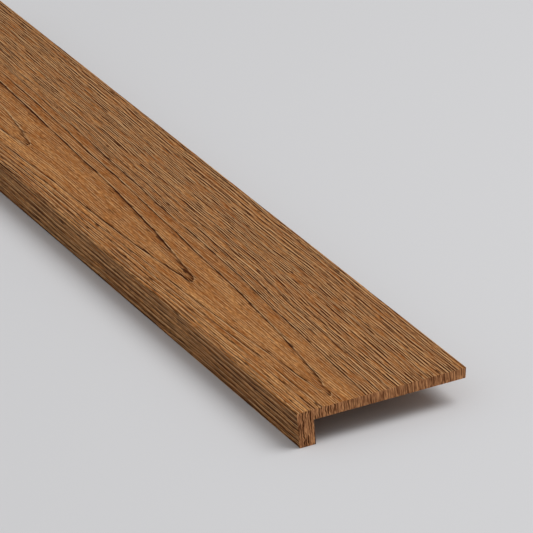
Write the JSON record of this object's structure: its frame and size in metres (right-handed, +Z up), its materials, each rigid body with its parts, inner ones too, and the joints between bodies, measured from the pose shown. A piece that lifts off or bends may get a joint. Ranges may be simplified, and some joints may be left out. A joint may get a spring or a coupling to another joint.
{
  "type": "stair tread molding",
  "caption": "Long L-section hardwood molding with a flat tread board and a square drop nosing, laid over the front of a step to cap it.",
  "frame": {"origin": "middle of the length and of the depth, at the level of the foot of the nosing", "axes": "+X along the length, +Y from the nosing's front face to the rear edge, +Z up out of the walking surface"},
  "size_m": [1.8288, 0.2666, 0.054],
  "materials": {
    "stained_oak": "flat-sawn oak, brown stain, lightly brushed, satin clear coat"
  },
  "bodies": {
    "root": {"stair_tread": "stained_oak"}
  },
  "joints": []
}
